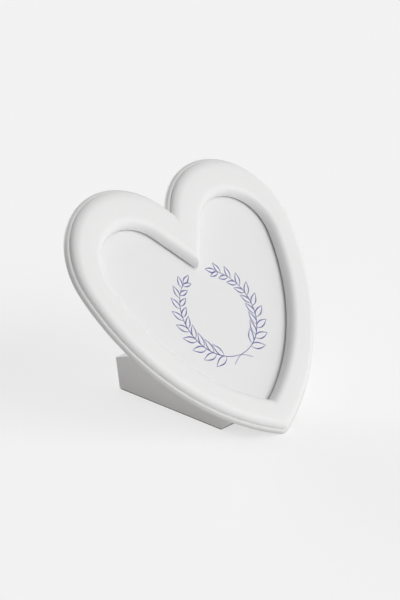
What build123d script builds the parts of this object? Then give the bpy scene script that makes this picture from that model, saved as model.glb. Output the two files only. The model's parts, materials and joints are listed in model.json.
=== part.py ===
from build123d import *
import os
from math import acos, atan2, cos, degrees, hypot, radians, sin, sqrt, tan
from types import SimpleNamespace

# Heart shaped photo frame. Two screwed shells clamp a window, a print and its backing,
# and a wedge foot on a dovetail rail leans the frame back.
# Millimetres. The table is z = 0, the front faces -Y, and the origin is the middle of
# the foot's underside.

# Lean of the frame
lean_angle = 50.0  # frame plane above the table
tip_reach = 83.18  # the tip's contact with the table, in front of the origin
tip_flat = 0.4  # how deep the tip is cut flat where it stands

# Outer edge of the heart, in the frame's own plane with y up the slope
outer_lobe_x = 47.3
outer_lobe_y = 37.5
outer_lobe_r = 56.0
outer_side_r = 175.0
outer_tip_y = -106.45
outer_tip_r = 6.0

# Opening of the heart, at the window
opening_lobe_x = 48.0
opening_lobe_y = 32.4
opening_lobe_r = 31.75
opening_side_r = 150.4
opening_tip_y = -81.8
opening_tip_r = 1.2

cleft_half_angle = 36.7  # between a flank of the cleft and the axis of the heart
cleft_land = 0.5  # least half width of a straight flank

# Section of the rim. Heights are measured forward from the window's face.
seam_height = 2.5  # seam between the two shells
edge_round = 2.0  # rounding of the housing's front edge, outside the seam
seam_land = 0.3  # flat ledge from that rounding to the foot of the bezel
seam_bevel = 0.3  # bevel under the bezel's outer edge
shoulder_run = 6.5  # quarter ellipse from the bezel's edge up to the crown
shoulder_rise = 4.2
crest_height = 7.05
crest_land = 0.5  # width of the flat along the crest
crown_sag = 0.06  # fall of the crown halfway to the shoulder and to the roll
roll_run = 4.3  # quarter ellipse from the crown down to the window
roll_rise = 6.6
edge_depth = 1.0  # rear edge of the band, behind the window's face
rear_slope_run = 6.0  # from the rear edge to the flat of the back

# Stack in the recess behind the lip, front to back
window_t = 1.5
print_t = 0.3
card_t = 0.8
panel_t = 2.5
lip_width = 4.0  # how far the bezel covers the edge of the window
stack_gap = 0.3  # play between the stack and the recess

# Shells
outer_wall = 6.0
inner_land = 4.0  # wall of the housing round the recess
bezel_channel = 2.2  # depth of the hollow in the bezel
housing_channel = 4.6  # depth of the hollow in the housing
boss_r = 4.0

# Screws that join the shells
screw_r = 1.45
screw_head_r = 2.8
screw_cone = 45.0  # half angle of the countersunk head
screw_sink = 0.2  # how far the head lies below the back
screw_grip = 2.7  # length of shank in the bezel
screw_gap = 0.05  # radial gap round every screw
pilot_spare = 0.3  # depth of a pilot hole past its screw
screw_lobe_angles = (104.0, 30.0)
screw_side_shares = (0.28, 0.8)

# Turn buttons
button_length = 19.0
button_width = 8.0
button_t = 1.0
button_end = 5.0  # from the pivot to the outer end
button_gap = 0.05  # above the back and below the screw head
button_clear = 4.8  # from a pivot to the edge of the recess
button_lobe_angles = (68.0,)
button_side_shares = (0.06, 0.54)
button_head_r = 3.0
button_head_t = 1.4
button_head_round = 0.9
button_grip = 4.2  # length of shank in the housing

# Foot
foot_length = 98.4  # along the table
foot_width = 52.0
foot_top_y = -31.9  # where the top of the foot meets the back, up the slope
heel_height = 23.8
heel_lean = 3.5
foot_wall = 2.4
foot_edge_r = 0.8
foot_root = 8.5  # solid part that holds the dovetail groove
foot_gap = 0.15  # play between the foot and the back
foot_bays = 3  # hollows side by side, with a rib between them
rib_t = 1.8
pad_t = 1.0
pad_inset = 0.8

# Dovetail rail on the back panel
rail_low_y = -62.0
rail_length = 24.0
rail_neck = 15.0
rail_head = 20.0
rail_depth = 5.0
rail_gap = 0.15
rail_anchor = 0.5  # how far the rail's root runs into the panel

# Values that follow from the sizes above
rim_width = outer_lobe_r - opening_lobe_r
bezel_inset = edge_round + seam_land
recess_inset = rim_width - lip_width
stack_inset = recess_inset + stack_gap
crest_outer = (rim_width - crest_land) / 2  # the crest runs along the middle of the rim
crest_inner = (rim_width + crest_land) / 2
screw_inset = (rear_slope_run + recess_inset) / 2  # middle of the flat back
button_inset = recess_inset - button_clear
screw_head_t = (screw_head_r - screw_r) / tan(radians(screw_cone))
housing_depth = window_t + print_t + card_t + panel_t
up_slope = Vector(0, cos(radians(lean_angle)), sin(radians(lean_angle)))
out_front = Vector(0, -sin(radians(lean_angle)), cos(radians(lean_angle)))
tip_corner = Vector(0, -tip_reach, -tip_flat)
heart_origin = tip_corner - up_slope * outer_tip_y + out_front * edge_depth
front = Plane(origin=heart_origin, x_dir=(1, 0, 0), z_dir=out_front)


def level(height):
    """Plane of the frame at a height in front of the window's face."""
    return front.offset(height)


def heart_arcs(inset):
    """Circles and joint angles of the heart that lies this far inside the outer edge.

    Every value runs evenly from the outer edge to the opening. The side arc touches
    the lobe and the tip circle, so its centre lies where two circles round theirs meet.
    """
    share = inset / rim_width

    def between(outer, opening):
        return outer + (opening - outer) * share

    lobe = (between(outer_lobe_x, opening_lobe_x), between(outer_lobe_y, opening_lobe_y))
    lobe_r = outer_lobe_r - inset
    side_r = between(outer_side_r, opening_side_r)
    tip_r = between(outer_tip_r, opening_tip_r)
    tip = (0.0, between(outer_tip_y, opening_tip_y) + tip_r)

    to_tip = (tip[0] - lobe[0], tip[1] - lobe[1])
    apart = hypot(*to_tip)
    along = ((side_r - lobe_r) ** 2 - (side_r - tip_r) ** 2 + apart**2) / (2 * apart)
    across = sqrt((side_r - lobe_r) ** 2 - along**2)
    side_x = lobe[0] + (to_tip[0] * along + to_tip[1] * across) / apart
    side_y = lobe[1] + (to_tip[1] * along - to_tip[0] * across) / apart

    land_angle = degrees(acos(max(-1.0, (cleft_land - lobe[0]) / lobe_r)))
    return SimpleNamespace(
        lobe=lobe,
        lobe_r=lobe_r,
        side=(side_x, side_y),
        side_r=side_r,
        tip=tip,
        tip_r=tip_r,
        cleft_angle=min(180 - cleft_half_angle, land_angle),
        side_angle=degrees(atan2(lobe[1] - side_y, lobe[0] - side_x)),
        tip_angle=degrees(atan2(tip[1] - side_y, tip[0] - side_x)),
    )


def heart(inset):
    """Face bounded by the heart that lies this far inside the outer edge."""
    arcs = heart_arcs(inset)
    with BuildSketch() as outline:
        with BuildLine():
            lobe_sweep = arcs.side_angle - arcs.cleft_angle
            lobe = CenterArc(arcs.lobe, arcs.lobe_r, arcs.cleft_angle, lobe_sweep)
            side_sweep = arcs.tip_angle - arcs.side_angle
            CenterArc(arcs.side, arcs.side_r, arcs.side_angle, side_sweep)
            CenterArc(arcs.tip, arcs.tip_r, arcs.tip_angle, -90 - arcs.tip_angle)
            flank_start = lobe @ 0
            flank = lobe % 0
            cleft_y = flank_start.Y - flank_start.X * flank.Y / flank.X
            Line((0, cleft_y), flank_start)
            mirror(about=Plane.YZ)
        make_face()
    return outline.sketch


def stations(inset, lobe_angles, side_shares):
    """Places on the rim, right side then left: x, y and the direction to the opening."""
    arcs = heart_arcs(inset)
    places = []
    for angle in lobe_angles:
        reach = Vector(arcs.lobe_r, 0).rotate(Axis.Z, angle)
        places.append((arcs.lobe[0] + reach.X, arcs.lobe[1] + reach.Y, angle + 180))
    for share in side_shares:
        angle = arcs.side_angle + share * (arcs.tip_angle - arcs.side_angle)
        reach = Vector(arcs.side_r, 0).rotate(Axis.Z, angle)
        places.append((arcs.side[0] + reach.X, arcs.side[1] + reach.Y, angle + 180))
    return places + [(-x, y, 180 - turn) for x, y, turn in places]


screw_stations = stations(screw_inset, screw_lobe_angles, screw_side_shares)
button_stations = stations(button_inset, button_lobe_angles, button_side_shares)
screw_points = [(x, y) for x, y, _ in screw_stations]
button_points = [(x, y) for x, y, _ in button_stations]


def channel(bosses):
    """Ring shaped hollow between the walls of a shell, round the bosses."""
    with BuildSketch() as hollow:
        add(heart(outer_wall))
        add(heart(recess_inset - inner_land), mode=Mode.SUBTRACT)
        with Locations(*bosses):
            Circle(boss_r, mode=Mode.SUBTRACT)
    return hollow.sketch


os.makedirs("parts", exist_ok=True)

# Front bezel: a puffy ring whose crown falls to the edge and to the window
swell_angles = (0.0, 25.0, 50.0, 75.0)
dome_base = seam_height + seam_bevel
shoulder_top = bezel_inset + shoulder_run * (1 - cos(radians(swell_angles[-1])))
roll_top = rim_width - roll_run * (1 - cos(radians(swell_angles[-1])))
dome_sections = [
    (bezel_inset + shoulder_run * (1 - cos(radians(a))), dome_base + shoulder_rise * sin(radians(a)))
    for a in swell_angles
]
dome_sections.append(((shoulder_top + crest_outer) / 2, crest_height - crown_sag))
dome_sections.append((crest_outer, crest_height))
flare_sections = [
    (rim_width - roll_run * (1 - cos(radians(a))), roll_rise * sin(radians(a)))
    for a in swell_angles
]
flare_sections.append(((roll_top + crest_inner) / 2, crest_height - crown_sag))
flare_sections.append((crest_inner, crest_height))

with BuildPart() as front_bezel:
    with BuildSketch(level(0)):
        add(heart(stack_inset))
    extrude(amount=seam_height)
    for inset, height in ((bezel_inset + seam_bevel, seam_height), (bezel_inset, dome_base)):
        with BuildSketch(level(height)):
            add(heart(inset))
    loft(ruled=True)
    for inset, height in dome_sections:
        with BuildSketch(level(height)):
            add(heart(inset))
    loft()
    for inset, height in flare_sections:
        with BuildSketch(level(height)):
            add(heart(inset))
    loft(mode=Mode.SUBTRACT)
    with BuildSketch(level(seam_height)):
        add(channel(screw_points))
    extrude(amount=bezel_channel, mode=Mode.SUBTRACT)
    with BuildSketch(level(seam_height)):
        with Locations(*screw_points):
            Circle(screw_r + screw_gap)
    extrude(amount=screw_grip + pilot_spare, mode=Mode.SUBTRACT)

# Rear housing: a band with a rounded front edge, with the recess for the stack
round_base = seam_height - edge_round
housing_sections = (
    (rear_slope_run, -housing_depth),
    (0.0, -edge_depth),
    (0.0, round_base),
)
round_angles = (0.0, 30.0, 60.0, 90.0)
round_sections = [
    (edge_round * (1 - cos(radians(a))), round_base + edge_round * sin(radians(a)))
    for a in round_angles
]

with BuildPart() as rear_housing:
    for inset, height in housing_sections:
        with BuildSketch(level(height)):
            add(heart(inset))
    loft(ruled=True)
    for inset, height in round_sections:
        with BuildSketch(level(height)):
            add(heart(inset))
    loft()
    with BuildSketch(level(-housing_depth)):
        add(heart(recess_inset))
    extrude(amount=housing_depth + seam_height, mode=Mode.SUBTRACT)
    with BuildSketch(level(seam_height - housing_channel)):
        add(channel(screw_points + button_points))
    extrude(amount=housing_channel, mode=Mode.SUBTRACT)
    with BuildSketch(level(-housing_depth)):
        with Locations(*screw_points):
            Circle(screw_r + screw_gap)
    extrude(amount=housing_depth + seam_height, mode=Mode.SUBTRACT)
    with BuildSketch(level(-housing_depth)):
        with Locations(*screw_points):
            Circle(screw_head_r + screw_gap)
    extrude(amount=screw_sink, mode=Mode.SUBTRACT)
    with BuildSketch(level(screw_sink - housing_depth)):
        with Locations(*screw_points):
            Circle(screw_head_r + screw_gap)
    extrude(amount=screw_head_t, taper=screw_cone, mode=Mode.SUBTRACT)
    with BuildSketch(level(-housing_depth)):
        with Locations(*button_points):
            Circle(screw_r + screw_gap)
    extrude(amount=button_grip + pilot_spare, mode=Mode.SUBTRACT)
    split(bisect_by=Plane.XY, keep=Keep.TOP)

with BuildPart() as housing_screws:
    with BuildSketch(level(screw_sink - housing_depth)):
        with Locations(*screw_points):
            Circle(screw_head_r)
    extrude(amount=screw_head_t, taper=screw_cone)
    with BuildSketch(level(screw_sink - housing_depth)):
        with Locations(*screw_points):
            Circle(screw_r)
    extrude(amount=housing_depth - screw_sink + seam_height + screw_grip)

# Stack in the recess: window, print, card and the panel that closes the back
with BuildPart() as clear_window:
    with BuildSketch(level(-window_t)):
        add(heart(stack_inset))
    extrude(amount=window_t)

with BuildPart() as photo_print:
    with BuildSketch(level(-window_t - print_t)):
        add(heart(stack_inset))
    extrude(amount=print_t)

with BuildPart() as backing_card:
    with BuildSketch(level(panel_t - housing_depth)):
        add(heart(stack_inset))
    extrude(amount=card_t)


def across_slope(y, height):
    """Plane square to the slope: x across the frame, y towards the back."""
    foot_point = front.from_local_coords((0, y, height))
    return Plane(origin=foot_point, x_dir=(1, 0, 0), z_dir=up_slope)


def dovetail(gap, start):
    """Section of the rail, widened by a gap, that starts this far inside the back."""
    flare = (rail_head - rail_neck) / 2 / rail_depth
    with BuildSketch() as section:
        with BuildLine():
            neck = rail_neck / 2 + gap - flare * start
            head = rail_head / 2 + gap + flare * gap
            deep = rail_depth + gap
            Polyline((-neck, -start), (neck, -start), (head, deep), (-head, deep), close=True)
        make_face()
    return section.sketch


with BuildPart() as back_panel:
    with BuildSketch(level(-housing_depth)):
        add(heart(stack_inset))
    extrude(amount=panel_t)
    with BuildSketch(across_slope(rail_low_y, -housing_depth)):
        add(dovetail(0.0, rail_anchor))
    extrude(amount=rail_length)

# Turn buttons: stamped tabs that swivel on their screws and overlap the panel
button_back = -housing_depth - button_gap - button_t
turn_buttons = []
for x, y, turn in button_stations:
    with BuildPart() as turn_button:
        with BuildSketch(level(button_back)):
            with Locations(Location((x, y, 0), (0, 0, turn))):
                with Locations((button_length / 2 - button_end, 0)):
                    SlotOverall(button_length, button_width)
                Circle(screw_r + screw_gap, mode=Mode.SUBTRACT)
        extrude(amount=button_t)
    turn_buttons.append(turn_button.part)

head_face = button_back - button_gap
with BuildPart() as turn_button_screws:
    with BuildSketch(level(head_face - button_head_t)):
        with Locations(*button_points):
            Circle(button_head_r)
    extrude(amount=button_head_t)
    rim_edges = turn_button_screws.edges().group_by(Axis(front.origin, out_front))[0]
    fillet(rim_edges, button_head_round)
    with BuildSketch(level(head_face)):
        with Locations(*button_points):
            Circle(screw_r)
    extrude(amount=button_grip - housing_depth - head_face)

# Foot: a hollow wedge that hooks onto the rail from below
root_height = -housing_depth - foot_gap


def wedge(bottom):
    """Side outline of the foot, as (y, z), cut off level at this height."""
    toe = Vector(0, -foot_length / 2, pad_t)
    root_low = toe + out_front * (root_height - front.to_local_coords(toe).Z)
    root_high = front.from_local_coords((0, foot_top_y, root_height))
    toe_end = toe - out_front * ((pad_t - bottom) / out_front.Z)
    heel_slope = heel_lean / (heel_height - pad_t)
    heel_end = foot_length / 2 - heel_slope * (pad_t - bottom)
    return [
        (toe_end.Y, toe_end.Z),
        (root_low.Y, root_low.Z),
        (root_high.Y, root_high.Z),
        (foot_length / 2 + heel_lean, heel_height),
        (heel_end, bottom),
    ]


def root_strip():
    """Side outline of the solid root, from end to end of the back."""
    corners = [
        front.from_local_coords((0, y, height))
        for y, height in (
            (outer_tip_y, root_height),
            (0.0, root_height),
            (0.0, root_height - foot_root),
            (outer_tip_y, root_height - foot_root),
        )
    ]
    return [(corner.Y, corner.Z) for corner in corners]


def foot_hollow():
    """Side outline of the hollow, a wall inside the foot and open at the bottom."""
    with BuildSketch() as side:
        with BuildLine():
            Polyline(*wedge(pad_t - 2 * foot_wall), close=True)
        make_face()
        offset(amount=-foot_wall, kind=Kind.INTERSECTION)
        with BuildLine():
            Polyline(*root_strip(), close=True)
        make_face(mode=Mode.SUBTRACT)
    return side.sketch


bay_width = (foot_width - 2 * foot_wall - (foot_bays - 1) * rib_t) / foot_bays

with BuildPart() as stand_foot:
    with BuildSketch(Plane.YZ):
        with BuildLine():
            Polyline(*wedge(pad_t), close=True)
        make_face()
    extrude(amount=foot_width / 2, both=True)
    heel_edges = stand_foot.faces().sort_by(Axis.Y)[-1].edges().sort_by(Axis.Z)[1:]
    slope_edges = stand_foot.faces().sort_by(Axis.Z)[-1].edges().sort_by(Axis.Z)[1:-1]
    fillet(heel_edges + slope_edges, foot_edge_r)
    for bay in range(foot_bays):
        bay_middle = (bay - (foot_bays - 1) / 2) * (bay_width + rib_t)
        with BuildSketch(Plane.YZ.offset(bay_middle)):
            add(foot_hollow())
        extrude(amount=bay_width / 2, both=True, mode=Mode.SUBTRACT)
    with BuildSketch(across_slope(rail_low_y - rail_gap, root_height + foot_gap)):
        add(dovetail(rail_gap, foot_gap))
    extrude(amount=foot_top_y - rail_low_y + foot_root, mode=Mode.SUBTRACT)

with BuildPart() as foot_pad:
    with BuildSketch():
        Rectangle(foot_width - 2 * pad_inset, foot_length - 2 * pad_inset)
    extrude(amount=pad_t)

pieces = {
    "front_bezel": front_bezel.part,
    "rear_housing": rear_housing.part,
    "housing_screws": housing_screws.part,
    "clear_window": clear_window.part,
    "photo_print": photo_print.part,
    "backing_card": backing_card.part,
    "back_panel": back_panel.part,
    "turn_button_screws": turn_button_screws.part,
    "stand_foot": stand_foot.part,
    "foot_pad": foot_pad.part,
}
for number, turn_button in enumerate(turn_buttons, start=1):
    pieces[f"turn_button_{number}"] = turn_button
for name, piece in pieces.items():
    piece.label = name
    export_step(piece, f"parts/{name}.step")
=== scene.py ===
# %% [markdown]
# # A heart shaped photo frame
# The real thing is two white moulded shells, screwed together round a clear window, a print, a card
# and a back panel. A wedge foot hooks onto the panel and leans the frame back. The solids of the part
# are loaded first. They are the frame of reference, in metres, and every piece made below sits on them.

# %% Load the solids
import json
import math

import bpy
import numpy as np
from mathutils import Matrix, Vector


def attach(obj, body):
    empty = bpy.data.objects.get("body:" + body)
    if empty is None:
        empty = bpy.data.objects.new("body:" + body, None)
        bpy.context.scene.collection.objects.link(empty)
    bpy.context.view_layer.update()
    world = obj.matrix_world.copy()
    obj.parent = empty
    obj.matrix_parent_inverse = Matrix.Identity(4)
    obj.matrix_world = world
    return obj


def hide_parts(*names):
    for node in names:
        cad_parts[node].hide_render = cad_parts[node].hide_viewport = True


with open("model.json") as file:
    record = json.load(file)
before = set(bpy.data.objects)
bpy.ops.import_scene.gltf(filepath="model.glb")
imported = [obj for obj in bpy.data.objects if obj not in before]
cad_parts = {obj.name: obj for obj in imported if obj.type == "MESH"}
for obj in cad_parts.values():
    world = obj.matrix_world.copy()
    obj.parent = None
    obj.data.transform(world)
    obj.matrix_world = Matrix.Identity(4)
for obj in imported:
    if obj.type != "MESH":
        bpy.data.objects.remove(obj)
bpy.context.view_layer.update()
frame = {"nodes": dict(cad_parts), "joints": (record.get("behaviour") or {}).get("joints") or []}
nodes = frame["nodes"]

# %% [markdown]
# ## The tilted plane of the picture
# The heart is flat, so its pieces are easiest to draw in its own plane: x to the right, y up the slope
# and a height out of the window. A turn button swivels about a line square to that plane, and the heart
# slides up it, off the foot, so the axes of those two joints give the directions with no measuring. The
# origin lies on the window, up the slope from the rear corner of the tip, which stands on the table.

# %% Plane of the picture
MM = 0.001
joint_axis = {joint["name"]: np.array(joint["axis"], float) for joint in frame["joints"]}
to_right = np.array([1.0, 0.0, 0.0])
up_slope = joint_axis["foot_slide"]
out_front = joint_axis["turn_button_1_swivel"]


def node_points(name):
    """Vertices of a solid as rows of x, y and z in metres."""
    vertices = nodes[name].data.vertices
    flat = np.empty(3 * len(vertices), np.float32)
    vertices.foreach_get("co", flat)
    return flat.reshape(-1, 3).astype(float)


tip_corner = MM * np.array([0.0, -83.18, -0.4])
outer_tip_y, edge_depth = -106.45, 1.0
heart_origin = tip_corner + MM * (edge_depth * out_front - outer_tip_y * up_slope)


def in_room(x, y, height):
    """Room coordinates of points in the plane: origin + x right + y up the slope + height to the front."""
    parts = np.broadcast_arrays(x, y, height)
    directions = (to_right, up_slope, out_front)
    return heart_origin + MM * sum(part[..., None] * d for part, d in zip(parts, directions))


print("heart origin:", heart_origin.round(5))

# %% [markdown]
# ## Heart curves
# One heart could be drawn as a free curve, but a moulded frame is drawn with arcs, because arcs offset
# cleanly. Each half has a straight flank at the cleft, a lobe, a long side and a small tip. All radii
# and centres run evenly from the outer edge to the opening, so one formula gives every heart between.

# %% Heart curves
# In each: lobe x, lobe y and lobe radius, then side radius, tip y and tip radius, all in millimetres.
outer_heart = (47.3, 37.5, 56.0, 175.0, outer_tip_y, 6.0)
opening_heart = (48.0, 32.4, 31.75, 150.4, -81.8, 1.2)
rim_width = outer_heart[2] - opening_heart[2]
flank_degrees, cleft_land = 36.7, 0.5
cleft_turn = math.radians(180 - flank_degrees)
flank_steps, lobe_steps, side_steps, tip_steps = 10, 96, 72, 12


def hearts(insets):
    """Hearts that lie these distances inside the outer edge: x and y, one row for each inset.

    The side arc touches the lobe circle and the tip circle, so its centre is where the circles of
    radius side - lobe and side - tip round those two centres meet. The left half mirrors the right.
    """
    share = np.asarray(insets, float)[:, None] / rim_width
    lobe_x, lobe_y, lobe_r, side_r, tip_y, tip_r = (
        outer + (opening - outer) * share for outer, opening in zip(outer_heart, opening_heart)
    )
    tip_y = tip_y + tip_r
    apart = np.hypot(lobe_x, tip_y - lobe_y)
    along = ((side_r - lobe_r) ** 2 - (side_r - tip_r) ** 2 + apart**2) / (2 * apart)
    across = np.sqrt((side_r - lobe_r) ** 2 - along**2)
    side_x = lobe_x + (-lobe_x * along + (tip_y - lobe_y) * across) / apart
    side_y = lobe_y + ((tip_y - lobe_y) * along + lobe_x * across) / apart
    lobe_start = np.minimum(cleft_turn, np.arccos(np.clip((cleft_land - lobe_x) / lobe_r, -1, 1)))
    lobe_end = np.arctan2(lobe_y - side_y, lobe_x - side_x)
    side_end = np.arctan2(tip_y - side_y, -side_x)
    arcs = (
        (lobe_x, lobe_y, lobe_r, lobe_start, lobe_end, np.arange(lobe_steps) / lobe_steps),
        (side_x, side_y, side_r, lobe_end, side_end, np.arange(side_steps) / side_steps),
        (0 * tip_y, tip_y, tip_r, side_end, -math.pi / 2, np.arange(tip_steps + 1) / tip_steps),
    )
    turns = [start + (end - start) * t for _, _, _, start, end, t in arcs]
    arc_x = [x + r * np.cos(turn) for (x, _, r, _, _, _), turn in zip(arcs, turns)]
    arc_y = [y + r * np.sin(turn) for (_, y, r, _, _, _), turn in zip(arcs, turns)]
    flank = np.arange(flank_steps) / flank_steps
    slope = -1 / np.tan(lobe_start)
    cleft_y = arc_y[0][:, :1] - arc_x[0][:, :1] * slope
    right_x = np.hstack([flank * arc_x[0][:, :1], *arc_x])
    right_y = np.hstack([cleft_y + flank * (arc_y[0][:, :1] - cleft_y), *arc_y])
    right_x[:, -1] = 0
    return np.hstack([right_x, -right_x[:, -2:0:-1]]), np.hstack([right_y, right_y[:, -2:0:-1]])


test_x, test_y = hearts([0, rim_width])
print("outer heart:", np.ptp(test_x[0]).round(1), "x", np.ptp(test_y[0]).round(1), "mm")
print("opening:", np.ptp(test_x[1]).round(1), "x", np.ptp(test_y[1]).round(1), "mm")

# %% [markdown]
# ## From grids to pieces
# A moulded or turned piece is a profile carried round a closed path, so its points form a grid. The
# grid closes round the path, and either round the profile too, as on a ring, or with a cap at each
# end, as on a slab or a screw. One helper makes the faces and one makes the piece that rides on a body.

# %% Grid helpers
smooth_limit = math.radians(32)


def grid_faces(rows, columns, closed):
    """Quads between neighbouring rows and columns. Columns wrap round, and rows do so if closed."""
    row, column = np.meshgrid(np.arange(rows if closed else rows - 1), np.arange(columns), indexing="ij")
    next_row, next_column = (row + 1) % rows, (column + 1) % columns
    quads = (row * columns + column, row * columns + next_column)
    quads += (next_row * columns + next_column, next_row * columns + column)
    return np.stack(quads, axis=-1).reshape(-1, 4)


def skin(grid, closed=False):
    """Points and faces of a closed shell from a grid of rows by columns by 3, turned to face outwards.

    Open ends get one flat face each. The signed volume, a sixth of the sum of each quad's triple
    products, is negative when the shell is inside out, and then every face is reversed.
    """
    rows, columns = grid.shape[:2]
    points = grid.reshape(-1, 3)
    quads = grid_faces(rows, columns, closed)
    a, b, c, d = (points[quads[:, i]] - points.mean(axis=0) for i in range(4))
    volume = np.einsum("ij,ij->", a, np.cross(b, c)) + np.einsum("ij,ij->", a, np.cross(c, d))
    faces = quads.tolist()
    if not closed:
        faces += [list(range(columns))[::-1], list(range((rows - 1) * columns, rows * columns))]
    return points, faces if volume > 0 else [face[::-1] for face in faces]


def joined(shells):
    """Several shells as one: the faces of each are shifted past the points before it."""
    starts = np.cumsum([0] + [len(points) for points, _ in shells])
    faces = [[i + int(start) for i in face] for (_, made), start in zip(shells, starts) for face in made]
    return np.vstack([points for points, _ in shells]), faces


def piece(name, shell, finish, body, replaced=()):
    """A smooth shaded mesh with creases at sharp edges, which rides on a body and stands for solids."""
    points, faces = shell
    mesh = bpy.data.meshes.new(name)
    mesh.from_pydata(points, [], faces)
    mesh.shade_smooth()
    mesh.set_sharp_from_angle(angle=smooth_limit)
    mesh.materials.append(finish)
    made = bpy.data.objects.new(name, mesh)
    bpy.context.scene.collection.objects.link(made)
    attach(made, body)
    if replaced:
        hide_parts(*replaced)
    print(name, "has", len(points), "points and", len(faces), "faces")


# %% [markdown]
# ## Writing a finish as sums
# A finish is a small graph of shader nodes. Wiring it by hand hides the idea, so one class wraps a
# socket: plus, minus and times on it add Math nodes, and its node method makes every other kind. Nearly
# every finish needs noise, a blend of two tones and a relief, so these three are helpers too.

# %% Shader helpers
class Wire:
    """A node's output that takes part in sums, so that 1 - mask * 2 adds its own Math nodes."""

    def __init__(self, tree, socket=None):
        self.tree = tree
        self.socket = socket

    def node(self, kind, settings=None, sockets=None, output=0):
        """Adds a node: its settings first, then the values or links of its sockets."""
        made = self.tree.nodes.new(kind)
        for key, value in (settings or {}).items():
            setattr(made, key, value)
        for key, value in (sockets or {}).items():
            if isinstance(value, Wire):
                self.tree.links.new(value.socket, made.inputs[key])
            else:
                made.inputs[key].default_value = value
        return Wire(self.tree, made.outputs[output]) if made.outputs else None

    def sum(self, operation, first, second):
        """Adds a Math node on two wires or numbers."""
        return self.node("ShaderNodeMath", {"operation": operation}, {0: first, 1: second})

    def __add__(self, other):
        return self.sum("ADD", self, other)

    def __sub__(self, other):
        return self.sum("SUBTRACT", self, other)

    def __rsub__(self, other):
        return self.sum("SUBTRACT", other, self)

    def __mul__(self, other):
        return self.sum("MULTIPLY", self, other)

    __radd__ = __add__
    __rmul__ = __mul__


def new_finish(name):
    """An empty material and the wire that its nodes are made from."""
    finish = bpy.data.materials.new(name)
    finish.use_nodes = True
    finish.node_tree.nodes.clear()
    return finish, Wire(finish.node_tree)


def coated(start, sockets):
    """Ends a graph in a Principled surface with these sockets."""
    surface = start.node("ShaderNodeBsdfPrincipled", sockets=sockets)
    start.node("ShaderNodeOutputMaterial", sockets={"Surface": surface})


def noise(start, place, scale, detail):
    """Smooth noise from 0 to 1: scale is its patches to the metre, and detail its finer octaves."""
    return start.node("ShaderNodeTexNoise", sockets={"Vector": place, "Scale": scale, "Detail": detail})


def blend(start, share, colour, other):
    """A colour that gives way to another as the share goes from 0 to 1."""
    tones = {0: share, 6: (*colour, 1.0), 7: (*other, 1.0)}
    return start.node("ShaderNodeMix", {"data_type": "RGBA"}, tones, output=2)


def relief(start, height, depth_mm, strength=1.0):
    """Shading of a surface raised by height, which is 0 to 1, times a depth. No point moves."""
    sockets = {"Height": height, "Strength": strength, "Distance": depth_mm * MM}
    return start.node("ShaderNodeBump", sockets=sockets)


print("shader helpers ready")

# %% [markdown]
# ## White moulded plastic
# The shells, the panel and the foot are one white plastic. What the eye reads as plastic is a soft
# gloss over a very fine grain, left by the mould, and broad clouds where the white is a little warmer.
# Both come from noise on the object's own coordinates, so they stay put when a piece moves. The rear
# shell's white is set darker than the bezel's, as painted shade on its side band, and the foot's white
# is set lighter, as painted light on its shaded side.

# %% Plastic finishes
cloud_scale = 16.0
gloss_swing = 0.16


def moulded(name, colour, shade, roughness, grain_mm, grain_depth_mm):
    """Plastic: two close tones mixed by broad clouds, with a fine grain in the gloss and the relief."""
    finish, start = new_finish(name)
    place = start.node("ShaderNodeTexCoord", output="Object")
    clouds = noise(start, place, cloud_scale, detail=3.0)
    grain = noise(start, place, 1 / (grain_mm * MM), detail=2.0)
    coated(start, {
        "Base Color": blend(start, clouds, colour, shade),
        "Roughness": roughness + (grain - 0.5) * gloss_swing,
        "Normal": relief(start, grain, grain_depth_mm),
    })
    return finish


bezel_white = moulded(
    "bezel_white", (0.88, 0.875, 0.87), (0.855, 0.85, 0.85),
    roughness=0.42, grain_mm=0.5, grain_depth_mm=0.004,
)
# Darker than the bezel's white: painted shade on the rear shell's side band.
housing_white_painted_shade = moulded(
    "housing_white_painted_shade", (0.77, 0.765, 0.76), (0.74, 0.735, 0.73),
    roughness=0.46, grain_mm=0.5, grain_depth_mm=0.006,
)
panel_white = moulded(
    "panel_white", (0.80, 0.795, 0.785), (0.77, 0.765, 0.755),
    roughness=0.62, grain_mm=0.7, grain_depth_mm=0.03,
)
# Lighter than the bezel's white: painted light on the foot's shaded side.
foot_white_painted_light = moulded(
    "foot_white_painted_light", (0.95, 0.935, 0.93), (0.93, 0.915, 0.91),
    roughness=0.55, grain_mm=0.6, grain_depth_mm=0.015,
)
print("plastic finishes ready")

# %% [markdown]
# ## The puffy front bezel
# The bezel swells from its edge to a flat crown and rolls down to the window. It could be a bevelled
# curve, but then the fat part would thin out at the cleft and the tip. Here a profile of inset and
# height is carried over the family of hearts, so each point of it runs along its own true heart.

# %% Profile helpers
def smooth_through(knots, count):
    """Points on a smooth curve: cubics by chord length whose slopes and bends agree at every knot."""
    knots = np.asarray(knots, float)
    place = np.concatenate([[0.0], np.cumsum(np.hypot(*np.diff(knots, axis=0).T))])
    gap = np.diff(place)
    last = len(place) - 1
    inner = np.arange(1, last)
    system = np.eye(last + 1)
    system[inner, inner - 1] = gap[:-1]
    system[inner, inner] = 2 * (gap[:-1] + gap[1:])
    system[inner, inner + 1] = gap[1:]
    slope = np.diff(knots, axis=0) / gap[:, None]
    right = np.zeros_like(knots)
    right[inner] = 6 * np.diff(slope, axis=0)
    bend = np.linalg.solve(system, right)
    at = np.linspace(0, place[-1], count)
    i = np.clip(np.searchsorted(place, at, side="right") - 1, 0, last - 1)
    wide = gap[i][:, None]
    before, after = (at - place[i])[:, None], (place[i + 1] - at)[:, None]
    start = (knots[i] / wide - bend[i] * wide / 6) * after + bend[i] * after**3 / (6 * wide)
    end = (knots[i + 1] / wide - bend[i + 1] * wide / 6) * before + bend[i + 1] * before**3 / (6 * wide)
    return start + end


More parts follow.
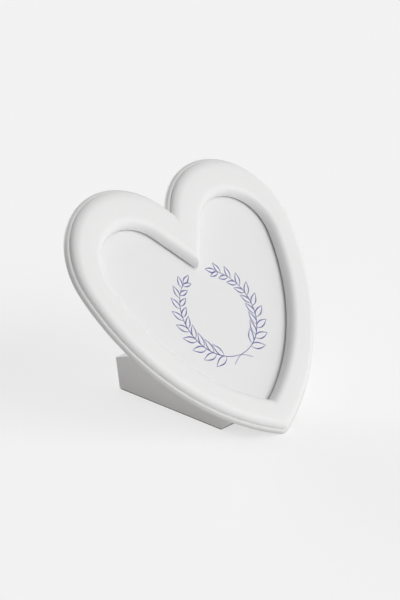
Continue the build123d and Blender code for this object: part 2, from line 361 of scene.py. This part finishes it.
def eased(corners, ease, steps=4):
    """An open line with its inner corners rounded: a parabola from one leg to the other at each."""
    corners = np.asarray(corners, float)
    middle = corners[1:-1]
    legs = [other - middle for other in (corners[:-2], corners[2:])]
    starts, ends = (middle + ease * leg / np.linalg.norm(leg, axis=1)[:, None] for leg in legs)
    t = np.linspace(0, 1, steps)[None, :, None]
    curves = starts[:, None] * (1 - t) ** 2 + middle[:, None] * 2 * t * (1 - t) + ends[:, None] * t**2
    return np.vstack([corners[:1], curves.reshape(-1, 2), corners[-1:]])


print("profile helpers ready")

# %% Front bezel
seam_height, seam_bevel = 2.5, 0.3
edge_round, seam_land = 2.0, 0.3
shoulder_run, shoulder_rise = 6.5, 4.2
crest_height, crown_sag = 7.05, 0.06
roll_run, roll_rise = 4.3, 6.6
lip_width, stack_gap, inner_land, outer_wall, bezel_channel = 4.0, 0.3, 4.0, 6.0, 2.2
bezel_inset = edge_round + seam_land
recess_inset = rim_width - lip_width
stack_inset = recess_inset + stack_gap
crown_steps = 56
corner_ease = 0.08
# Angles at which the curves of the shoulder and the roll are pinned.
swell = np.radians([0, 25, 50, 75])
dome_base = seam_height + seam_bevel
ramp, lift = 1 - np.cos(swell), np.sin(swell)
shoulder = np.column_stack([bezel_inset + shoulder_run * ramp, dome_base + shoulder_rise * lift])
roll = np.column_stack([rim_width - roll_run * ramp, roll_rise * lift])
crest = np.array([rim_width / 2, crest_height])
halfway = [[(crest[0] + end[0]) / 2, crest_height - crown_sag] for end in (shoulder[-1], roll[-1])]
crown_knots = np.vstack([shoulder, halfway[0], crest, halfway[1], roll[::-1]])
underside = [
    (rim_width, 0),
    (stack_inset, 0),
    (stack_inset, seam_height),
    (recess_inset - inner_land, seam_height),
    (recess_inset - inner_land, seam_height + bezel_channel),
    (outer_wall, seam_height + bezel_channel),
    (outer_wall, seam_height),
    (bezel_inset + seam_bevel, seam_height),
    (bezel_inset, dome_base),
]
bezel_profile = np.vstack([smooth_through(crown_knots, crown_steps), eased(underside, corner_ease)[1:-1]])


def ring(profile):
    """A ring: each profile point, an inset and a height, runs round its own heart."""
    x, y = hearts(profile[:, 0])
    return in_room(x, y, profile[:, 1:])


bezel_skin = skin(ring(bezel_profile), closed=True)
piece("puffy_bezel", bezel_skin, bezel_white, "frame", ["front_bezel"])

# %% [markdown]
# ## The rear housing, the foot and the panel
# The housing has countersunk holes, and the foot and the panel have the dovetail, so their solids are
# already the right shape. The mesh of a solid is loose triangles, though, and would show every facet of
# a round wall. A copy with its points welded can be shaded smooth, with creases only where the angle is
# real.

# %% Rear housing, foot and panel
weld_mm = 0.002


def welded(name):
    """A solid's triangles with equal points made one: points are rounded to the weld and counted once."""
    points = node_points(name)
    mesh = nodes[name].data
    corner = np.empty(len(mesh.loops), np.int32)
    mesh.loops.foreach_get("vertex_index", corner)
    key = np.round(points / (weld_mm * MM)).astype(np.int64)
    _, first, same = np.unique(key, axis=0, return_index=True, return_inverse=True)
    triangles = same.reshape(-1)[corner].reshape(-1, 3)
    a, b, c = triangles.T
    real = (a != b) & (b != c) & (c != a)
    return points[first], triangles[real].tolist()


piece("rear_shell", welded("rear_housing"), housing_white_painted_shade, "frame", ["rear_housing"])
piece("wedge_foot", welded("stand_foot"), foot_white_painted_light, "foot", ["stand_foot"])
piece("closing_panel", welded("back_panel"), panel_white, "frame", ["back_panel"])

# %% [markdown]
# ## The clear window
# The window is a clear acrylic sheet. Full refraction would leave the print behind it nearly unlit,
# because light sampling cannot look through a bent path, so the sheet is a faint gloss that lets the
# rest through. It is drawn a hair thinner than its solid, to keep its faces off the print's.

# %% Window
window_t, print_t = 1.5, 0.3
air = 0.04
window_tint, window_share = (0.95, 0.96, 0.97), 0.035
haze_scale, window_gloss, haze_swing = 30.0, 0.05, 0.05


def clear_sheet(name):
    """Clear acrylic: a polished surface of which only a small share shows, faintly uneven."""
    finish, start = new_finish(name)
    place = start.node("ShaderNodeTexCoord", output="Object")
    haze = noise(start, place, haze_scale, detail=2.0)
    coated(start, {
        "Base Color": (*window_tint, 1.0),
        "Roughness": window_gloss + haze * haze_swing,
        "Alpha": window_share,
    })
    return finish


window_profile = np.array([(stack_inset, -air), (stack_inset, air - window_t)])
window_clear = clear_sheet("window_clear")
piece("clear_sheet", skin(ring(window_profile)), window_clear, "frame", ["clear_window"])

# %% [markdown]
# ## Paper and board
# The print is a matt coated card and the backing is grey board. Both are pressed fibre, so a fine
# stretched noise gives fibres in two directions, stronger on the board than on the coated card.

# %% Paper and board
fibre_squeeze = 0.12
fibre_directions = ((1.0, fibre_squeeze, fibre_squeeze), (fibre_squeeze, 1.0, 1.0))
paper_gloss, paper_swing = 0.72, 0.16


def fibrous(name, colour, fibre_colour, fibre_mm, relief_mm):
    """Pressed fibre: two stretched noises, crossed, mix a second tone in and raise a faint relief."""
    finish, start = new_finish(name)
    place = start.node("ShaderNodeTexCoord", output="Object")
    fibres = []
    for stretch in fibre_directions:
        laid = start.node("ShaderNodeMapping", sockets={"Vector": place, "Scale": stretch})
        fibres.append(noise(start, laid, 1 / (fibre_mm * MM), detail=3.0))
    fibre = fibres[0] * 0.5 + fibres[1] * 0.5
    coated(start, {
        "Base Color": blend(start, fibre, colour, fibre_colour),
        "Roughness": paper_gloss + fibre * paper_swing,
        "Normal": relief(start, fibre, relief_mm),
    })
    return finish


def refinish(node, finish):
    """Gives a solid that keeps its own shape a better finish."""
    nodes[node].material_slots[0].material = finish


print_card = fibrous(
    "print_card", (0.87, 0.86, 0.865), (0.85, 0.845, 0.85), fibre_mm=0.25, relief_mm=0.003
)
grey_board = fibrous(
    "grey_board", (0.55, 0.50, 0.43), (0.40, 0.36, 0.31), fibre_mm=0.4, relief_mm=0.05
)
refinish("photo_print", print_card)
refinish("backing_card", grey_board)
print("paper and board ready")

# %% [markdown]
# ## The drawing on the print
# The insert carries a thin drawing in blue violet ink. A wreath of two leafy sprigs fills that place.
# Ink could be painted by the finish, but hairlines go soft there, so each line is a flat strip of ink
# with a swelling width. A stem is an arc with a flick at its foot, where the two stems cross, and a leaf
# is a closed curve. Along the stem the leaves stand far enough apart to stay clear of each other.

# %% Ink finish
ink_dark, ink_pale = (0.045, 0.04, 0.27), (0.11, 0.10, 0.38)
ink_patch_scale, ink_gloss, ink_swing = 220.0, 0.6, 0.1


def ink_finish(name):
    """Ink: one blue violet that lies a little thinner in places."""
    finish, start = new_finish(name)
    place = start.node("ShaderNodeTexCoord", output="Object")
    patches = noise(start, place, ink_patch_scale, detail=2.0)
    coated(start, {
        "Base Color": blend(start, patches, ink_dark, ink_pale),
        "Roughness": ink_gloss + patches * ink_swing,
    })
    return finish


wreath_ink = ink_finish("wreath_ink")
print("ink finish ready")

# %% Wreath in ink
wreath_y, wreath_r = -13.0, 32.0
line_points = 41
leaf_turns = np.radians(np.arange(-67, 54, 15.0))
leaf_splay = math.radians(40)
stem_foot, flick_start, flick = math.radians(-104), math.radians(-86), 6.0
first_leaf, last_leaf = 13.0, 9.0
leaf_half_width, leaf_shift = 0.18, 0.8
inner_lag, inner_share, end_lag = 0.07, 0.88, 0.12
stem_thin, stem_swell = 0.35, 0.35
leaf_thin, leaf_swell = 0.36, 0.58
ink_sink, ink_rise = 0.005, 0.02
ink_low, ink_high = -window_t - ink_sink, -window_t + ink_rise
leaf_t = np.linspace(0, 2, line_points)
reach = np.minimum(leaf_t, 2 - leaf_t)


def strips(lines, widths):
    """Ink strips along lines of x and y: a flat box section, widths wide, follows every line."""
    along = np.gradient(lines, axis=1)
    along /= np.linalg.norm(along, axis=2, keepdims=True)
    side = np.stack([-along[..., 1], along[..., 0]], axis=-1) * widths[..., None] / 2
    left, right = lines + side, lines - side
    box = np.stack([left, right, right, left], axis=2)
    height = np.array([ink_low, ink_low, ink_high, ink_high])
    points = in_room(box[..., 0], box[..., 1], height)
    return joined([skin(one) for one in points])


def leaves(turns, splay, lengths):
    """Leaves on the stem at these turns: out along one side and back along the other.

    Half the width is a share of the length times the sine of pi times t to a power below 1, which puts
    the widest place nearer to the stem.
    """
    bow = np.where(leaf_t < 1, 1, -1) * leaf_half_width * np.sin(math.pi * reach**leaf_shift)
    heading = turns + math.pi / 2 + splay
    ahead = np.stack([np.cos(heading), np.sin(heading)], axis=-1)[:, None]
    aside = np.stack([-np.sin(heading), np.cos(heading)], axis=-1)[:, None]
    base = wreath_r * np.stack([np.cos(turns), np.sin(turns)], axis=-1)[:, None]
    return base + lengths[:, None, None] * (reach[:, None] * ahead + bow[:, None] * aside)


stem_turn = np.linspace(stem_foot, leaf_turns[-1] + end_lag, line_points)
flicked = np.clip((flick_start - stem_turn) / (flick_start - stem_foot), 0, 1)
stem_r = wreath_r + flick * flicked**2
stem = np.stack([stem_r * np.cos(stem_turn), stem_r * np.sin(stem_turn)], axis=-1)[None]
leaf_lengths = np.linspace(first_leaf, last_leaf, len(leaf_turns))
outer_leaves = leaves(leaf_turns, -leaf_splay, leaf_lengths)
inner_leaves = leaves(leaf_turns + inner_lag, leaf_splay, inner_share * leaf_lengths)
end_leaf = leaves(stem_turn[-1:], np.zeros(1), leaf_lengths[-1:])
sprig = np.concatenate([stem, outer_leaves, inner_leaves, end_leaf])
drawn = np.concatenate([sprig, sprig * [-1, 1]]) + [0, wreath_y]
stem_width = stem_thin + stem_swell * np.sin(np.linspace(0, math.pi, line_points))
leaf_width = leaf_thin + leaf_swell * np.sin(math.pi * reach) ** 2
sprig_widths = np.vstack([stem_width, np.broadcast_to(leaf_width, (len(sprig) - 1, line_points))])
piece("print_wreath", strips(drawn, np.vstack([sprig_widths] * 2)), wreath_ink, "frame")

# %% [markdown]
# ## Bare steel
# The tabs and the screws are bare steel. Rolling and brushing leave fine lines in it, so a noise that is
# fine from side to side and drawn out up the slope goes into the gloss and a very shallow relief. A
# broad noise dulls the colour a little, as tarnish does.

# %% Steel finish
streak = (1.0, 0.04, 0.04)
streak_scale, streak_strength, streak_depth_mm, streak_swing = 9000.0, 0.4, 0.01, 0.2
tarnish_scale, tarnish_share, tarnish_swing = 160.0, 0.82, 0.08


def brushed(name, colour, roughness):
    """Stamped steel: long brushed streaks in the gloss and a trace of tarnish in the colour."""
    finish, start = new_finish(name)
    place = start.node("ShaderNodeTexCoord", output="Object")
    laid = start.node("ShaderNodeMapping", sockets={"Vector": place, "Scale": streak})
    lines = noise(start, laid, streak_scale, detail=2.0)
    tarnish = noise(start, place, tarnish_scale, detail=4.0)
    dull = tuple(tarnish_share * c for c in colour)
    coated(start, {
        "Base Color": blend(start, tarnish, colour, dull),
        "Metallic": 1.0,
        "Roughness": roughness + (lines - 0.5) * streak_swing + tarnish * tarnish_swing,
        "Normal": relief(start, lines, streak_depth_mm, streak_strength),
    })
    return finish


button_steel = brushed("button_steel", (0.66, 0.66, 0.67), roughness=0.30)
screw_steel = brushed("screw_steel", (0.72, 0.72, 0.73), roughness=0.26)
print("steel finishes ready")

# %% [markdown]
# ## Turn buttons
# Six stamped steel tabs swivel on their screws and hold the panel in. A tab is a long round ended
# outline with a pivot hole. Each grid row is a closed loop, and the rows go up the hole, out over the
# face, round the edge and back underneath, so the tab is a closed ring with no seams to mend.

# %% Shape of a tab
button_length, button_width, button_t, button_end = 19.0, 8.0, 1.0, 5.0
button_gap, screw_r, screw_gap = 0.05, 1.45, 0.05
card_t, panel_t = 0.8, 2.5
housing_depth = window_t + print_t + card_t + panel_t
button_face = -housing_depth - button_gap
edge_ease, hole_bevel = 0.22, 0.1
loop_points = 96


def tab_outline(shrink, count):
    """Round ended outline about the pivot, drawn in by shrink: straight sides and two half circles."""
    radius = button_width / 2 - shrink
    run = button_length - button_width
    lengths = np.array([run, math.pi * radius, run, math.pi * radius])
    place = np.linspace(0, lengths.sum(), count, endpoint=False)
    part = np.searchsorted(np.cumsum(lengths), place, side="right")
    t = (place - np.concatenate([[0], np.cumsum(lengths)])[part]) / lengths[part]
    far = button_length - button_end - button_width / 2
    near = button_width / 2 - button_end
    quarter = math.pi / 2
    turn = np.choose(part, [-quarter, -quarter + math.pi * t, quarter, quarter + math.pi * t])
    centre = np.choose(part, [near + run * t, far, far - run * t, near])
    return np.stack([centre + radius * np.cos(turn), radius * np.sin(turn)], axis=-1)


def tab_rows():
    """Loops of the tab, hole first: the hole follows the outline's own turns about the pivot."""
    bend = np.radians([90, 60, 30, 0])
    ease, drop = edge_ease * (1 - np.cos(bend)), edge_ease * (1 - np.sin(bend))
    outline = tab_outline(0, loop_points)
    turn = np.arctan2(outline[:, 1], outline[:, 0])
    hole = np.stack([np.cos(turn), np.sin(turn)], axis=-1)
    hole_r = screw_r + screw_gap
    mouth_r = hole_r + hole_bevel
    rows = [(hole * hole_r, -button_t + hole_bevel), (hole * hole_r, -hole_bevel), (hole * mouth_r, 0.0)]
    rows += [(tab_outline(s, loop_points), -d) for s, d in zip(ease, drop)]
    rows += [(tab_outline(s, loop_points), d - button_t) for s, d in zip(ease[::-1], drop[::-1])]
    rows += [(hole * mouth_r, -button_t)]
    return np.stack([np.column_stack([loop, np.full(loop_points, height)]) for loop, height in rows])


def turned(points, x, y, turn, height):
    """Points of a small part, turned in the plane and moved to its place on the frame's back."""
    c, s = math.cos(turn), math.sin(turn)
    across, up = points[..., 0], points[..., 1]
    return in_room(x + c * across - s * up, y + s * across + c * up, height + points[..., 2])


tab = tab_rows()
print("a tab has", tab.shape[0], "loops of", tab.shape[1], "points")

# %% Turn buttons
button_places = []
for number in range(1, 7):
    node = f"turn_button_{number}"
    joint = next(j for j in frame["joints"] if j["name"] == f"{node}_swivel")
    pivot = (np.array(joint["pos_m"]) - heart_origin) / MM
    x, y = pivot @ to_right, pivot @ up_slope
    points = node_points(node)
    middle = ((points.max(axis=0) + points.min(axis=0)) / 2 - heart_origin) / MM
    turn = math.atan2(middle @ up_slope - y, middle @ to_right - x)
    button_places.append((x, y, turn))
    body = f"button_{number}"
    made = skin(turned(tab, x, y, turn, button_face), closed=True)
    piece(f"swivel_tab_{number}", made, button_steel, body, [node])

# %% [markdown]
# ## Screws
# Both kinds of screw show only their heads: domed on the turn buttons, flat and sunk in the housing.
# A head is a height over radius and turn. The cross recess is that height lowered where the point lies
# in either of two bars, with soft edges, and the rows then run down the side and along the shank.

# %% Screw helpers
screw_points = 72
recess_depth, recess_taper = 0.75, 0.35
bar_half_width, bar_half_length, bar_edge = 0.32, 1.45, 0.1


def soft_step(value, edge):
    """Falls smoothly from 1 below zero to 0 above the edge: 1 - 3 t squared + 2 t cubed."""
    t = np.clip(value / edge, 0, 1)
    return 1 - t * t * (3 - 2 * t)


def screw_grid(head_radii, head_heights, side_rows):
    """A screw with its head up: head rows lowered by the cross, then plain rows of radius and height."""
    turn = np.linspace(0, 2 * math.pi, screw_points, endpoint=False)
    radius = np.concatenate([head_radii, [r for r, _ in side_rows]])[:, None]
    height = np.concatenate([head_heights, [h for _, h in side_rows]])[:, None]
    x, y = radius * np.cos(turn), radius * np.sin(turn)
    short, long = np.minimum(abs(x), abs(y)), np.maximum(abs(x), abs(y))
    cross = soft_step(short - bar_half_width, bar_edge) * soft_step(long - bar_half_length, bar_edge)
    taper = 1 - recess_taper * long / bar_half_length
    cross[len(head_radii):] = 0
    return np.stack([x, y, height - recess_depth * cross * taper], axis=-1)


def back_screws(grid, places, face):
    """One shell of all the screws: heads point to the back, so the height is turned round."""
    return joined([skin(turned(grid * [1, 1, -1], x, y, turn, face)) for x, y, turn in places])


print("screw helpers ready")

# %% Turn button screws
button_head_r, button_head_t, button_head_round, button_grip = 3.0, 1.4, 0.9, 4.2
head_rows, head_centre, end_bevel = 24, 0.02, 0.3
head_under = button_face - button_t - button_gap
flat_radii = np.linspace(head_centre, button_head_r - button_head_round, head_rows)
bend_turns = np.radians(np.arange(10, 91, 10))
bend_radii = button_head_r - button_head_round * (1 - np.sin(bend_turns))
bend_heights = button_head_t - button_head_round * (1 - np.cos(bend_turns))
dome = np.concatenate([np.full(head_rows, button_head_t), bend_heights])
shank_end = -(button_grip - housing_depth - head_under)
shank_tip = screw_r - end_bevel
shank = [(button_head_r, 0.0), (screw_r, 0.0), (screw_r, shank_end + end_bevel), (shank_tip, shank_end)]
domed = screw_grid(np.concatenate([flat_radii, bend_radii]), dome, shank)
domed_screws = back_screws(domed, button_places, head_under)
piece("tab_screws", domed_screws, screw_steel, "frame", ["turn_button_screws"])

# %% Housing screws
screw_head_r, screw_sink, screw_grip = 2.8, 0.2, 2.7
sunk_rows, head_bevel = 28, 0.06
cross_turn, cluster_gap = 0.4, 0.1
screw_cloud = (node_points("housing_screws") - heart_origin) / MM
screw_xy = np.stack([screw_cloud @ to_right, screw_cloud @ up_slope], axis=-1)
bearing = np.arctan2(screw_xy[:, 0], screw_xy[:, 1])
order = np.argsort(bearing)
clusters = np.split(screw_xy[order], np.flatnonzero(np.diff(bearing[order]) > cluster_gap) + 1)
housing_places = [(*(cluster.min(axis=0) + cluster.max(axis=0)) / 2, cross_turn) for cluster in clusters]
flat_head = np.linspace(head_centre, screw_head_r - head_bevel, sunk_rows)
cone_end = screw_r - screw_head_r
tail = -(housing_depth - screw_sink + seam_height + screw_grip)
cone = [(screw_head_r, -head_bevel), (screw_r, cone_end), (screw_r, tail + end_bevel), (shank_tip, tail)]
sunk = screw_grid(flat_head, np.zeros(sunk_rows), cone)
sunk_screws = back_screws(sunk, housing_places, screw_sink - housing_depth)
piece("shell_screws", sunk_screws, screw_steel, "frame", ["housing_screws"])
print("screws:", len(button_places), "domed and", len(housing_places), "sunk")

# %% [markdown]
# ## The rubber pad
# The underside of the foot is closed by a thin rubber sheet. Its solid is right as it is, and only
# needs a dull black with a coarse grain and a little pale dust.

# %% Rubber pad
rubber_black, dust_grey = (0.020, 0.020, 0.021), (0.07, 0.068, 0.066)
rubber_grain_scale, rubber_relief_mm, rubber_gloss, rubber_swing = 1400.0, 0.05, 0.78, 0.15
dust_scale, dust_share = 60.0, 0.5


def rubber(name):
    """Rubber: near black, dull, with a coarse grain and dust where a broad noise is high."""
    finish, start = new_finish(name)
    place = start.node("ShaderNodeTexCoord", output="Object")
    grain = noise(start, place, rubber_grain_scale, detail=3.0)
    dust = noise(start, place, dust_scale, detail=4.0)
    coated(start, {
        "Base Color": blend(start, dust * dust_share, rubber_black, dust_grey),
        "Roughness": rubber_gloss + grain * rubber_swing,
        "Normal": relief(start, grain, rubber_relief_mm),
    })
    return finish


refinish("foot_pad", rubber("pad_rubber"))
print("rubber pad ready")

# %% [markdown]
# ## Floor and light
# The picture has an even pale floor that runs out of view, a broad light from the front, a dark left side
# and a faint soft shadow. Wide suns light the whole floor evenly, which area lamps would not, and a sky
# that falls off to the left leaves the edges there grey. A white floor sends light back up, onto the
# foot. Seen directly or in a reflection it is a grey with a glow, so that its shadow is only faint, and
# the sky has the floor's own tone, so that no horizon shows.

# %% Floor
floor_size = 8.0
floor_grey = 0.40
floor_glow = 0.62
floor_bounce = 0.98


def seen_directly(start):
    """1 for rays of the camera, of a reflection or through something clear, and 0 for scattered light."""
    seen = start.node("ShaderNodeLightPath", output="Is Camera Ray")
    outputs = seen.socket.node.outputs
    for kind in ("Is Glossy Ray", "Is Transmission Ray"):
        seen = start.sum("MAXIMUM", seen, Wire(start.tree, outputs[kind]))
    return seen


def studio_floor(name):
    """Pale floor: a matt grey with a glow for rays that see it, and a matt white for scattered light."""
    finish, start = new_finish(name)
    matt = start.node("ShaderNodeBsdfDiffuse", sockets={"Color": (floor_grey, floor_grey, floor_grey, 1.0)})
    glow = start.node("ShaderNodeEmission", sockets={"Color": (1.0, 1.0, 1.0, 1.0), "Strength": floor_glow})
    shown = start.node("ShaderNodeAddShader", sockets={0: matt, 1: glow})
    white = (floor_bounce, floor_bounce, floor_bounce, 1.0)
    hidden = start.node("ShaderNodeBsdfDiffuse", sockets={"Color": white})
    mixed = start.node("ShaderNodeMixShader", sockets={0: seen_directly(start), 1: hidden, 2: shown})
    start.node("ShaderNodeOutputMaterial", sockets={"Surface": mixed})
    return finish


half = floor_size / 2
floor_mesh = bpy.data.meshes.new("floor")
floor_corners = [(-half, -half, 0), (half, -half, 0), (half, half, 0), (-half, half, 0)]
floor_mesh.from_pydata(floor_corners, [], [(0, 1, 2, 3)])
floor_mesh.materials.append(studio_floor("floor_pale"))
floor = bpy.data.objects.new("floor", floor_mesh)
bpy.context.scene.collection.objects.link(floor)
print("floor:", floor_size, "m wide")

# %% Lamps and world
sky_level, sky_to_right, sky_to_front = 0.365, 0.32, 0.06
sky_seen = 0.89


def wide_sun(name, bearing, rise, strength, spread):
    """A sun at a bearing from the front, positive to the right, and a rise above the floor, in degrees.

    A white card that faces it renders as strength.
    """
    turn, lift = math.radians(bearing), math.radians(rise)
    toward = (math.sin(turn) * math.cos(lift), -math.cos(turn) * math.cos(lift), math.sin(lift))
    lamp = bpy.data.lights.new(name, "SUN")
    lamp.energy = math.pi * strength
    lamp.angle = math.radians(spread)
    sun = bpy.data.objects.new(name, lamp)
    sun.rotation_euler = Vector(toward).to_track_quat("Z", "Y").to_euler()
    bpy.context.scene.collection.objects.link(sun)


wide_sun("front_sun", bearing=14, rise=26, strength=0.50, spread=50)
wide_sun("back_sun", bearing=180, rise=12, strength=0.42, spread=40)
world = bpy.data.worlds.new("studio")
world.use_nodes = True
start = Wire(world.node_tree)
heading = start.node("ShaderNodeTexCoord", output="Generated")
split = start.node("ShaderNodeSeparateXYZ", sockets={"Vector": heading})
rightward, backward = (Wire(start.tree, split.socket.node.outputs[axis]) for axis in "XY")
brightness = rightward * sky_to_right - backward * sky_to_front + sky_level
brightness = brightness + seen_directly(start) * (sky_seen - brightness)
sky = world.node_tree.nodes["Background"]
sky.inputs["Color"].default_value = (1.0, 1.0, 1.0, 1.0)
start.tree.links.new(brightness.socket, sky.inputs["Strength"])
bpy.context.scene.world = world
bpy.context.scene.view_settings.view_transform = "Standard"
print("lamps and world ready")

# %% [markdown]
# ## Camera
# The picture was taken from the left and above with a long lens. The long side of the image, 600
# pixels, spans the 36 mm sensor, so a focal length in pixels times 36 / 600 is the lens in millimetres.

# %% Camera
image_long_side = 600
focal_pixels = 1900.0
sensor_mm = 36.0
azimuth, elevation = math.radians(-46.9), math.radians(22.0)
camera_distance, aim_x = 1.292, -11.0
toward_camera = np.array([
    math.sin(azimuth) * math.cos(elevation), -math.cos(azimuth) * math.cos(elevation), math.sin(elevation)
])
aim = in_room(aim_x, 0.0, 0.0)
lens = bpy.data.cameras.new("camera")
lens.sensor_width = sensor_mm
lens.lens = focal_pixels * sensor_mm / image_long_side
camera = bpy.data.objects.new("camera", lens)
camera.location = aim + toward_camera * camera_distance
camera.rotation_euler = Vector(-toward_camera).to_track_quat("-Z", "Y").to_euler()
bpy.context.scene.collection.objects.link(camera)
bpy.context.scene.camera = camera
print("camera at", [round(v, 3) for v in camera.location], "with a lens of", lens.lens, "mm")
